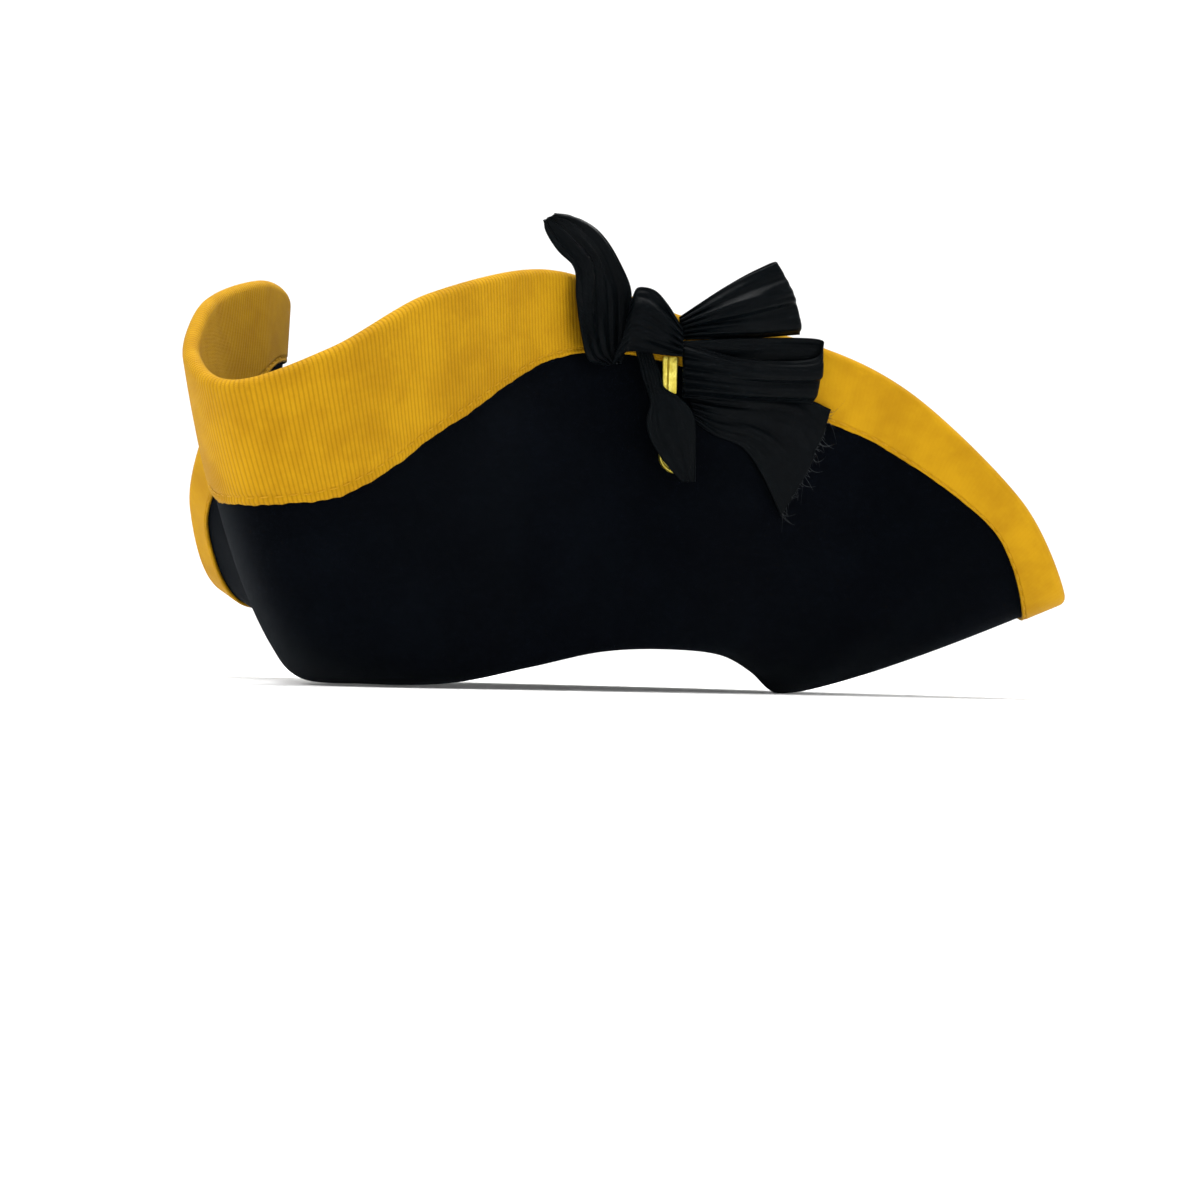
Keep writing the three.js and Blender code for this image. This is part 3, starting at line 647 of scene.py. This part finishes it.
def turned_button():
    """A profile of reach and height turned about z; the rim's height ripples with the cosine of the turn."""
    profile = np.array([
        [0.001, 0], [0.5, 0], [0.7, 0], [0.88, 0.14], [0.97, 0.28], [1.0, 0.42], [0.98, 0.56], [0.93, 0.68],
        [0.86, 0.7], [0.8, 0.62], [0.72, 0.72], [0.55, 0.86], [0.35, 0.95], [0.15, 0.99], [0.001, 1.0],
    ])
    reach, height = profile.T
    turn = np.linspace(0, 2 * np.pi, 193)[:-1]
    rope = np.exp(-(((reach - 0.93) / 0.06) ** 2)) * (height > 0.2)
    ripple = 0.05 * rope[:, None] * np.cos(48 * turn + 14 * height[:, None])
    out = (height[:, None] + ripple) * BUTTON_THICKNESS
    wide = reach[:, None] * BUTTON_DIAMETER / 2 * (1 + 0.4 * ripple)
    flat = np.stack([wide * np.cos(turn), wide * np.sin(turn), out], axis=-1)
    points = set_on_flap(flat, BUTTON_ACROSS, -BUTTON_DROP, SEAT_GAP)
    return capped_tube("button_face", points, flat[..., :2])


def braid_bar():
    """A section with two rounded strips and a groove, carried up the bar and rounded at both ends."""
    level = np.linspace(-1, 1, 49)
    bulge = np.clip(1 - np.abs(level) ** 10, 0, 1) ** 0.3
    x = np.concatenate([level[::-1], level[1:-1]])
    z = np.concatenate([-bulge, bulge[1:-1]])
    groove = np.exp(-(((x + 0.26) / 0.07) ** 2)) * (z > 0)
    ends = np.linspace(-1, 1, 81)
    taper = 1 - 0.12 * np.abs(ends) ** 30
    ribs = 0.03 * np.cos(ends * np.pi * 34)
    flat = np.stack(
        [
            BAR_WIDTH / 2 * x * taper[:, None] * (1 + 0.4 * ribs[:, None]),
            BAR_LENGTH / 2 * ends[:, None] + 0 * x,
            BAR_THICKNESS / 2 * (1 + z * taper[:, None] * (1 + ribs[:, None]) - 0.9 * groove),
        ],
        axis=-1,
    )
    points = set_on_flap(flat, BAR_ACROSS, -BAR_DROP, SEAT_GAP / 2)
    return capped_tube("braid_bar", points, flat[..., :2])


button_face = turned_button()
gilt_bar = braid_bar()
ribbons = (upper_loop, middle_loop, cut_tail, curled_loop, standing_end, button_strap)
for piece in (*ribbons, button_face, gilt_bar):
    tell(piece)


# %% [markdown]
# The band is sewn down with small stitches of mustard thread a little above its lower edge, on both sides
# of the brim. Each stitch is the same short bead, a sphere stretched along the seam and sunk into its
# groove. Geometry Nodes could place them, but one product of arrays carries the bead to every place.

# %% Stitches along the band
STITCH_PITCH, STITCH_LENGTH, STITCH_WIDTH = 0.0044, 0.0027, 0.0005
STITCH_SINK = 0.00032  # of its middle, into the groove


def bead(length, width, rings=7, sides=8):
    """A stretched sphere along x, as points and as corners of squares that close round it."""
    along = np.cos(np.linspace(np.pi * 0.98, np.pi * 0.02, rings))
    turn = np.linspace(0, 2 * np.pi, sides + 1)[:-1]
    girth = np.sqrt(1 - along**2)[:, None]
    reach = along[:, None] * length / 2 + 0 * turn
    points = np.stack([reach, girth * np.cos(turn) * width / 2, girth * np.sin(turn) * width / 2], axis=-1)
    row, column = grid_corners(rings, sides, False, True)
    return points.reshape(-1, 3), (row * sides + column % sides)[:, ::-1]


def carry(name, flat, corners, places, axes):
    """Copies of one shape: its points times each place's three axes, plus the place."""
    points = (np.einsum("pk,nkj->npj", flat, axes) + places[:, None]).reshape(-1, 3)
    every = (corners[None] + np.arange(len(places))[:, None, None] * len(flat)).ravel()
    uv = np.tile(flat[:, :2], (len(places), 1))[every]
    return put_mesh(name, points, every, np.full(len(every) // 4, 4), uv)


def seam_stitches(name, side):
    """A bead at each stitch's pitch of rim along the seam's groove, turned to lie along it."""
    count = round(float(rim_length(360.0)) / STITCH_PITCH)
    even = np.arange(count) / count * float(rim_length(360.0))
    fine = np.linspace(0, 360, 3601)
    angle = np.interp(even, rim_length(fine), fine)
    share = SEAM_SHARE * (1 + ragged(angle, side) * SEAM_SHARE**4)
    stands = side * (FELT / 2 + SEAT_GAP + BINDING - STITCH_SINK)
    place = brim(angle, band_way(angle, share), stands + 0 * angle)
    ahead = brim(angle + 0.3, band_way(angle + 0.3, share), stands + 0 * angle)
    out = unit(brim(angle, band_way(angle, share), stands + side * 0.001 + 0 * angle) - place)
    along = unit(ahead - place)
    across = np.cross(out, along)
    wander = np.random.default_rng(7).uniform(-0.12, 0.12, count)[:, None]
    along, across = unit(along + wander * across), unit(across - wander * along)
    flat, corners = bead(STITCH_LENGTH, STITCH_WIDTH)
    return carry(name, flat, corners, place, np.stack([along, across, out], axis=1))


outer_stitches = seam_stitches("outer_stitches", 1)
inner_stitches = seam_stitches("inner_stitches", -1)
tell(outer_stitches)
tell(inner_stitches)


# %% [markdown]
# The tail was cut and never hemmed, so threads work loose along its end. Each loose thread is a thin hair
# with its own length, lean and bend, and most are short. Hair curves would be lighter, but a mesh keeps its
# thickness in every program that opens the model.

# %% Frayed end of the tail
FRAY_HAIRS = 90
FRAY_RADIUS = 0.00011  # at a hair's root


def frayed_threads():
    """Hairs from the tail's end, each a four-sided taper along a parabola of its own lean and bend."""
    rng = np.random.default_rng(21)
    count, rows = FRAY_HAIRS, 7
    side = np.sort(rng.uniform(0.01, 0.99, count))
    root = tail_place(np.full(count, 0.985), side)
    away = unit(root - tail_place(np.full(count, 0.93), side))
    across = unit(tail_place(np.full(count, 0.985), side + 0.004) - root)
    out = np.cross(away, across)
    length = 0.0012 + 0.0065 * rng.uniform(0, 1, count) ** 4
    lean, bend, lift = rng.normal(0, 0.5, count), rng.normal(0, 0.9, count), rng.normal(0.1, 0.25, count)
    t = np.linspace(0, 1, rows)[None, :, None]
    stretch = length[:, None, None]
    spine = root[:, None] + stretch * (
        t * away[:, None] + (t * lean[:, None, None] + t**2 * bend[:, None, None]) * across[:, None]
        + t * lift[:, None, None] * out[:, None]
    )
    thick = FRAY_RADIUS * (1 - 0.7 * t)
    turn = np.arange(4) * np.pi / 2
    ring = np.cos(turn)[:, None] * across[:, None, None] + np.sin(turn)[:, None] * out[:, None, None]
    points = spine[:, :, None] + thick[..., None] * ring
    row, column = grid_corners(rows, 4, False, True)
    walls = row * 4 + column % 4
    caps = np.array([[0, 1, 2, 3], [rows * 4 - 1, rows * 4 - 2, rows * 4 - 3, rows * 4 - 4]])
    each = np.concatenate([walls, caps])
    every = (each[None] + np.arange(count)[:, None, None] * rows * 4).ravel()
    points = points.reshape(-1, 3)
    return put_mesh("frayed_threads", points, every, np.full(len(every) // 4, 4), points[every][:, :2])


frayed = frayed_threads()
tell(frayed)


# %% [markdown]
# Materials come next. A few short helpers keep the node trees readable: each one adds a node to the tree
# that its inputs belong to and gives the node's output, and one starts a material with its shader.

# %% Node helpers
def node(tree, kind, sockets=None, **settings):
    """A node of a kind, its settings, and its sockets fed by a number, a colour or another output."""
    made = tree.nodes.new(kind)
    for name, value in settings.items():
        setattr(made, name, value)
    for name, value in (sockets or {}).items():
        if isinstance(value, bpy.types.NodeSocket):
            tree.links.new(value, made.inputs[name])
        else:
            made.inputs[name].default_value = value
    return made


def object_place(tree):
    """The point's own coordinates, which stay with the piece when it moves."""
    return node(tree, "ShaderNodeTexCoord").outputs["Object"]


def math_node(operation, *values):
    """A Math node of numbers and outputs, in the tree of the first output among them."""
    tree = next(value.id_data for value in values if isinstance(value, bpy.types.NodeSocket))
    return node(tree, "ShaderNodeMath", dict(enumerate(values)), operation=operation).outputs[0]


def times(output, factor, plus=0.0):
    """The output times a factor, plus something."""
    return math_node("MULTIPLY_ADD", output, factor, plus)


def noise(place, scale, **sockets):
    """The noise texture's height at a place."""
    sockets = {"Vector": place, "Scale": scale, **sockets}
    return node(place.id_data, "ShaderNodeTexNoise", sockets).outputs["Fac"]


def ramp(output, low, high):
    """0 below low and 1 above high, smoothly between."""
    sockets = {"Value": output, "From Min": low, "From Max": high}
    made = node(output.id_data, "ShaderNodeMapRange", sockets, interpolation_type="SMOOTHSTEP")
    return made.outputs["Result"]


def mix_colour(factor, a, b):
    """Colour a where the factor is 0 and colour b where it is 1."""
    a, b = (side if isinstance(side, bpy.types.NodeSocket) else (*side, 1) for side in (a, b))
    return node(factor.id_data, "ShaderNodeMix", {"Factor": factor, 6: a, 7: b}, data_type="RGBA").outputs[2]


def bump(height, strength, distance):
    """The normal of a surface that is raised by the height."""
    sockets = {"Height": height, "Strength": strength, "Distance": distance}
    return node(height.id_data, "ShaderNodeBump", sockets).outputs["Normal"]


def start_material(name, **shader):
    """A material with one Principled shader, whose even values are set on the shader itself."""
    material = bpy.data.materials.new(name)
    material.use_nodes = True
    principled = material.node_tree.nodes["Principled BSDF"]
    for socket, value in shader.items():
        principled.inputs[socket.replace("_", " ")].default_value = value
    return material, material.node_tree


def finish_material(material, colour, **outputs):
    """Links the outputs that vary over the surface to the shader, its base colour first."""
    tree = material.node_tree
    shader = tree.nodes["Principled BSDF"]
    tree.links.new(colour, shader.inputs["Base Color"])
    for socket, output in outputs.items():
        tree.links.new(output, shader.inputs[socket])
    return material


def start_group(name, inputs, outputs):
    """A node group with named number inputs and named outputs."""
    tree = bpy.data.node_groups.new(name, "ShaderNodeTree")
    for socket, value in inputs.items():
        given = tree.interface.new_socket(socket, in_out="INPUT", socket_type="NodeSocketFloat")
        given.default_value = value
    for socket in outputs:
        tree.interface.new_socket(socket, in_out="OUTPUT", socket_type="NodeSocketFloat")
    return tree, tree.nodes.new("NodeGroupInput").outputs, tree.nodes.new("NodeGroupOutput").inputs


def place_group(tree, group, **values):
    """The group's outputs, with its inputs set to these numbers."""
    return node(tree, "ShaderNodeGroup", node_tree=group, sockets=values).outputs


print("node helpers ready")

# %% [markdown]
# Two effects are shared. Fibre grain is the short nap that felt, ribbon and thread all have: a fine noise
# over a coarser one. Woven ribs are the fine cords across a ribbon: a sine wave along the ribbon's length
# with a much finer thread across it. The band has them coarse and the satin has them almost too fine to
# see. Both groups give a height for a Bump node. Fibre grain gives a mask of patches for the colour, and
# woven ribs give a mask of the valleys between the ribs, where the band has painted shade.

# %% Shared effects
def fibre_grain():
    """Height: seven parts fine noise and three parts coarse. Patches: the coarse noise alone."""
    inputs = {"Fibre": 2200.0, "Patch": 120.0}
    tree, given, result = start_group("fibre_grain", inputs, ("Height", "Patches"))
    place = object_place(tree)
    fine = noise(place, given["Fibre"], Detail=4.0, Roughness=0.65, Distortion=0.4)
    coarse = noise(place, given["Patch"], Detail=5.0, Roughness=0.6)
    tree.links.new(times(fine, 0.7, times(coarse, 0.3)), result["Height"])
    tree.links.new(coarse, result["Patches"])
    return tree


def woven_ribs():
    """Height: ribs along the cloth's length with threads across, half a thread aside on every next rib."""
    inputs = {"Pitch": RIB, "Thread": 0.0004, "Slant": 0.0, "Waver": 0.0002}
    tree, given, result = start_group("woven_ribs", inputs, ("Height", "Valley_shade"))
    cloth = node(tree, "ShaderNodeUVMap", uv_map="cloth").outputs["UV"]
    split = node(tree, "ShaderNodeSeparateXYZ", {"Vector": cloth}).outputs
    drift = math_node("SUBTRACT", noise(cloth, 60.0, Detail=2.0), 0.5)
    along = times(drift, given["Waver"], split["X"])
    along = math_node("DIVIDE", times(split["Y"], given["Slant"], along), given["Pitch"])
    ribs = times(math_node("SINE", times(along, 2 * math.pi)), 0.5, 0.5)
    across = times(math_node("DIVIDE", split["Y"], given["Thread"]), 2 * math.pi)
    shifted = times(math_node("FLOOR", along), math.pi, across)
    threads = times(math_node("SINE", shifted), 0.5, 0.5)
    tree.links.new(times(threads, 0.22, times(math_node("POWER", ribs, 0.6), 0.78)), result["Height"])
    # The valleys between the ribs, where painted shade goes.
    tree.links.new(math_node("POWER", math_node("SUBTRACT", 1.0, ribs), 3.0), result["Valley_shade"])
    return tree


FIBRE_GRAIN, WOVEN_RIBS = fibre_grain(), woven_ribs()
print("shared groups", FIBRE_GRAIN.name, WOVEN_RIBS.name)

# %% [markdown]
# Black wool felt drinks light. It is not quite black, and a faint cool sheen shows where the nap is seen
# edge on. Faint patches are where hands and steam flattened the nap, and a few specks of lint sit on it.

# %% Felt
def black_felt():
    """Nearly black, lighter where the nap is flattened, with lint in about one cell of four."""
    material, tree = start_material(
        "black_wool_felt",
        Sheen_Weight=0.02,
        Sheen_Roughness=0.4,
        Sheen_Tint=(0.5, 0.65, 0.8, 1),
        Specular_IOR_Level=0.02,
    )
    grain = place_group(tree, FIBRE_GRAIN, Fibre=2400.0, Patch=28.0)
    worn = mix_colour(ramp(grain["Patches"], 0.35, 0.68), (0.0004, 0.0008, 0.0016), (0.0010, 0.0018, 0.0032))
    nap = mix_colour(ramp(grain["Height"], 0.4, 0.75), (0.0003, 0.0006, 0.0012), worn)
    cells = node(tree, "ShaderNodeTexVoronoi", {"Vector": object_place(tree), "Scale": 42.0}).outputs
    draw = node(tree, "ShaderNodeSeparateColor", {"Color": cells["Color"]}).outputs["Red"]
    lint = times(ramp(cells["Distance"], 0.016, 0.006), ramp(draw, 0.72, 0.74))
    return finish_material(
        material,
        mix_colour(times(lint, 0.7), nap, (0.42, 0.44, 0.42)),
        Roughness=times(grain["Height"], -0.12, 0.98),
        Normal=bump(grain["Height"], 0.55, 0.0006),
    )


# %% [markdown]
# The band is a mustard ribbon with cords across it. The cords catch the light on their ridges, and their
# valleys have painted brown shade. Towards the back of the hat the cords and the painted shade fade,
# because there the ribbon was steamed and stretched flat over the rim, and a fine felted grain is left.

# %% Mustard band
def mustard_band():
    """Two mustards in patches, paler flecks, painted valley shade, cords that fade towards the back."""
    material, tree = start_material(
        "mustard_ribbed_band",
        Sheen_Weight=0.02,
        Sheen_Roughness=0.5,
        Sheen_Tint=(1.0, 0.8, 0.3, 1),
        Specular_IOR_Level=0.07,
    )
    grain = place_group(tree, FIBRE_GRAIN, Fibre=1500.0, Patch=55.0)
    ribs = place_group(tree, WOVEN_RIBS, Pitch=RIB, Thread=0.0007, Slant=0.1, Waver=0.0006)
    place = object_place(tree)
    backwards = node(tree, "ShaderNodeSeparateXYZ", {"Vector": place}).outputs["Y"]
    clear = ramp(times(noise(place, 14.0, Detail=3.0), 0.09, backwards), 0.045, -0.05)
    # Painted shade: the valleys between the cords get darker, less so towards the back.
    shaded_valleys = times(ribs["Valley_shade"], times(clear, 0.55, 0.05))
    dyed = mix_colour(ramp(grain["Patches"], 0.3, 0.7), (0.28, 0.139, 0.0013), (0.355, 0.187, 0.0026))
    flecked = mix_colour(times(ramp(grain["Height"], 0.62, 0.78), 0.25), dyed, (0.46, 0.28, 0.016))
    cords = times(ribs["Height"], times(clear, 0.75, 0.08))
    return finish_material(
        material,
        # painted shade: brown in the valleys between the cords
        mix_colour(times(shaded_valleys, 0.75), flecked, (0.14, 0.064, 0.001)),
        Roughness=times(shaded_valleys, 0.1, 0.78),
        Normal=bump(times(grain["Height"], 0.5, cords), 0.6, 0.0005),
    )


# %% [markdown]
# Satin shines along its threads: broad, soft, cool highlights on black. Its weave is nearly too fine to
# see, and small creases from handling break the highlights up. Thread and gilt are simpler: the thread is
# twisted yarn, and the gilt is metal whose small dents and worn places vary its gloss.

# %% Satin, thread and gilt
def black_satin():
    """Black with a cool tinge, whose gloss and height follow small creases and a very fine weave."""
    material, tree = start_material("black_satin", Anisotropic=0.4, Specular_IOR_Level=0.025)
    grain = place_group(tree, FIBRE_GRAIN, Fibre=1900.0, Patch=140.0)
    weave = place_group(tree, WOVEN_RIBS, Pitch=0.00042, Thread=0.0003, Slant=0.0, Waver=0.0002)
    creases = noise(object_place(tree), 170.0, Detail=3.0, Roughness=0.5, Distortion=0.6)
    fine = times(weave["Height"], 0.12, times(grain["Height"], 0.12))
    return finish_material(
        material,
        mix_colour(grain["Patches"], (0.0002, 0.0005, 0.0008), (0.0010, 0.0018, 0.0024)),
        Roughness=times(grain["Patches"], 0.16, 0.26),
        Normal=bump(math_node("ADD", creases, fine), 0.45, 0.0009),
    )


def yarn(name, dark, light):
    """Thread between a dark and a light colour."""
    material, tree = start_material(name, Specular_IOR_Level=0.1)
    grain = place_group(tree, FIBRE_GRAIN, Fibre=3000.0, Patch=400.0)
    return finish_material(
        material,
        mix_colour(grain["Patches"], dark, light),
        Roughness=times(grain["Height"], 0.2, 0.5),
        Normal=bump(grain["Height"], 0.5, 0.0002),
    )


def gilt():
    """Metal that is paler and smoother where it is worn."""
    material, tree = start_material("bright_gilt", Metallic=1.0)
    grain = place_group(tree, FIBRE_GRAIN, Fibre=700.0, Patch=260.0)
    worn = ramp(grain["Patches"], 0.35, 0.7)
    return finish_material(
        material,
        mix_colour(worn, (0.38, 0.30, 0.035), (0.60, 0.52, 0.11)),
        Roughness=times(worn, -0.16, 0.42),
        Normal=bump(grain["Height"], 0.4, 0.0008),
    )


FELT_LOOK, BAND_LOOK, SATIN_LOOK, GILT_LOOK = black_felt(), mustard_band(), black_satin(), gilt()
STITCH_LOOK = yarn("mustard_thread", (0.3, 0.15, 0.003), (0.4, 0.21, 0.005))
FRAY_LOOK = yarn("black_thread", (0.006, 0.007, 0.008), (0.03, 0.033, 0.035))
print("materials", len(bpy.data.materials))

# %% [markdown]
# Each piece now gets its finish, rides on the hat's one body and hides the solid that it replaces. The
# plain solid gets the finish of its piece's slot too.

# %% Dress the pieces
SLOT_LOOKS = {"felt": FELT_LOOK, "binding": BAND_LOOK, "satin": SATIN_LOOK, "gilt": GILT_LOOK}
DRESS = [
    (felt_shell, "felt_body", "felt", FELT_LOOK),
    (ribbed_band, "brim_binding", "binding", BAND_LOOK),
    (outer_stitches, "brim_binding", "binding", STITCH_LOOK),
    (inner_stitches, "brim_binding", "binding", STITCH_LOOK),
    (upper_loop, "upper_ribbon", "satin", SATIN_LOOK),
    (middle_loop, "middle_ribbon", "satin", SATIN_LOOK),
    (cut_tail, "tail_ribbon", "satin", SATIN_LOOK),
    (frayed, "tail_ribbon", "satin", FRAY_LOOK),
    (curled_loop, "curl_ribbon", "satin", SATIN_LOOK),
    (standing_end, "ear_ribbon", "satin", SATIN_LOOK),
    (button_strap, "strap_ribbon", "satin", SATIN_LOOK),
    (button_face, "gilt_button", "gilt", GILT_LOOK),
    (gilt_bar, "gilt_loop", "gilt", GILT_LOOK),
]
for piece, solid, slot, look in DRESS:
    piece.data.materials.append(look)
    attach(piece, "root")
    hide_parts(solid)
    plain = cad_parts[solid].data.materials
    plain.clear()
    plain.append(SLOT_LOOKS[slot])
print("dressed", len(DRESS), "pieces")

# %% [markdown]
# The band is one long strip. The ribbons of the cockade are lengths of one satin ribbon, gathered or
# folded. The felt body was never a flat sheet, because felt hoods are blocked to shape.

print("the band is one strip and the cockade six lengths of ribbon")

# %% [markdown]
# The hat stands on a plain pale sweep, as in a photo studio: a round floor that turns up into a wall on all
# sides, so there is no edge to see from anywhere. A flat plane would end in a line behind the hat.

# %% Floor
FLOOR_REACH, BEND_RADIUS = 2.4, 1.6


def sweep():
    """A profile of reach and height turned about z: flat, then a quarter circle up to a wall."""
    bend = np.linspace(0, np.pi / 2, 25)
    wall = FLOOR_REACH + BEND_RADIUS
    reach = np.concatenate([[0.001, 0.4, 1.0, 1.8], FLOOR_REACH + BEND_RADIUS * np.sin(bend), [wall, wall]])
    rise = BEND_RADIUS * (1 - np.cos(bend))
    height = np.concatenate([[0, 0, 0, 0], rise, [BEND_RADIUS + 1.0, BEND_RADIUS + 2.6]])
    turn = np.linspace(0, 2 * np.pi, 129)[:-1]
    points = np.stack(
        [reach[:, None] * np.cos(turn), reach[:, None] * np.sin(turn), height[:, None] + 0 * turn], axis=-1
    )
    uv = np.stack(np.meshgrid(np.arange(len(reach) + 1.0), np.arange(129.0), indexing="ij"), axis=-1)
    return grid_piece("pale_sweep", points, uv, wrap_columns=True)


def pale_paint():
    """Matt paint with a faint glow, so that the floor stays as pale as the world behind it."""
    glow = {"Emission_Color": (1, 1, 1, 1), "Emission_Strength": 0.07}
    material, tree = start_material("pale_paint", Roughness=0.9, **glow)
    patches = place_group(tree, FIBRE_GRAIN, Fibre=300.0, Patch=3.0)["Patches"]
    return finish_material(material, mix_colour(patches, (0.86, 0.86, 0.86), (0.88, 0.88, 0.88)))


floor = sweep()
floor.data.materials.append(pale_paint())
print("sweep", len(floor.data.polygons), "faces")


# %% [markdown]
# The light is soft studio light, all of it from area lights, because small lamps would throw hard shadows.
# The widest and strongest hangs above. A large one stands to the left of the camera, a weaker one to its
# right, a faint one lights the rims from behind, and a pale world fills the shadows.

# %% Lights
def panel(name, place, target, size, watts, colour):
    """An area light at a place that faces a target."""
    light = bpy.data.lights.new(name, "AREA")
    light.shape = "SQUARE"
    light.size = size
    light.energy = watts
    light.color = colour
    lamp = bpy.data.objects.new(name, light)
    away = np.array(place, float) - np.array(target, float)
    lamp.location = place
    lamp.rotation_euler = (
        math.atan2(math.hypot(away[0], away[1]), away[2]), 0, math.atan2(away[1], away[0]) + math.pi / 2
    )
    bpy.context.scene.collection.objects.link(lamp)


panel("key_left", (-0.9, -1.7, 1.5), (0, 0, 0.08), 1.3, 36, (1.0, 0.99, 0.97))
panel("fill_right", (2.0, -0.8, 0.9), (0, 0, 0.08), 1.6, 20, (0.96, 0.98, 1.0))
panel("top", (0, 0.1, 2.3), (0, 0, 0), 1.8, 115, (1.0, 1.0, 1.0))
panel("back", (-0.4, 2.2, 1.5), (0, 0, 0.1), 1.6, 7, (1.0, 1.0, 1.0))
world = bpy.data.worlds.new("studio")
world.use_nodes = True
world.node_tree.nodes["Background"].inputs["Color"].default_value = (1, 1, 1, 1)
world.node_tree.nodes["Background"].inputs["Strength"].default_value = 0.38
bpy.context.scene.world = world
bpy.context.scene.view_settings.view_transform = "Standard"
print("lights", len(bpy.data.lights))
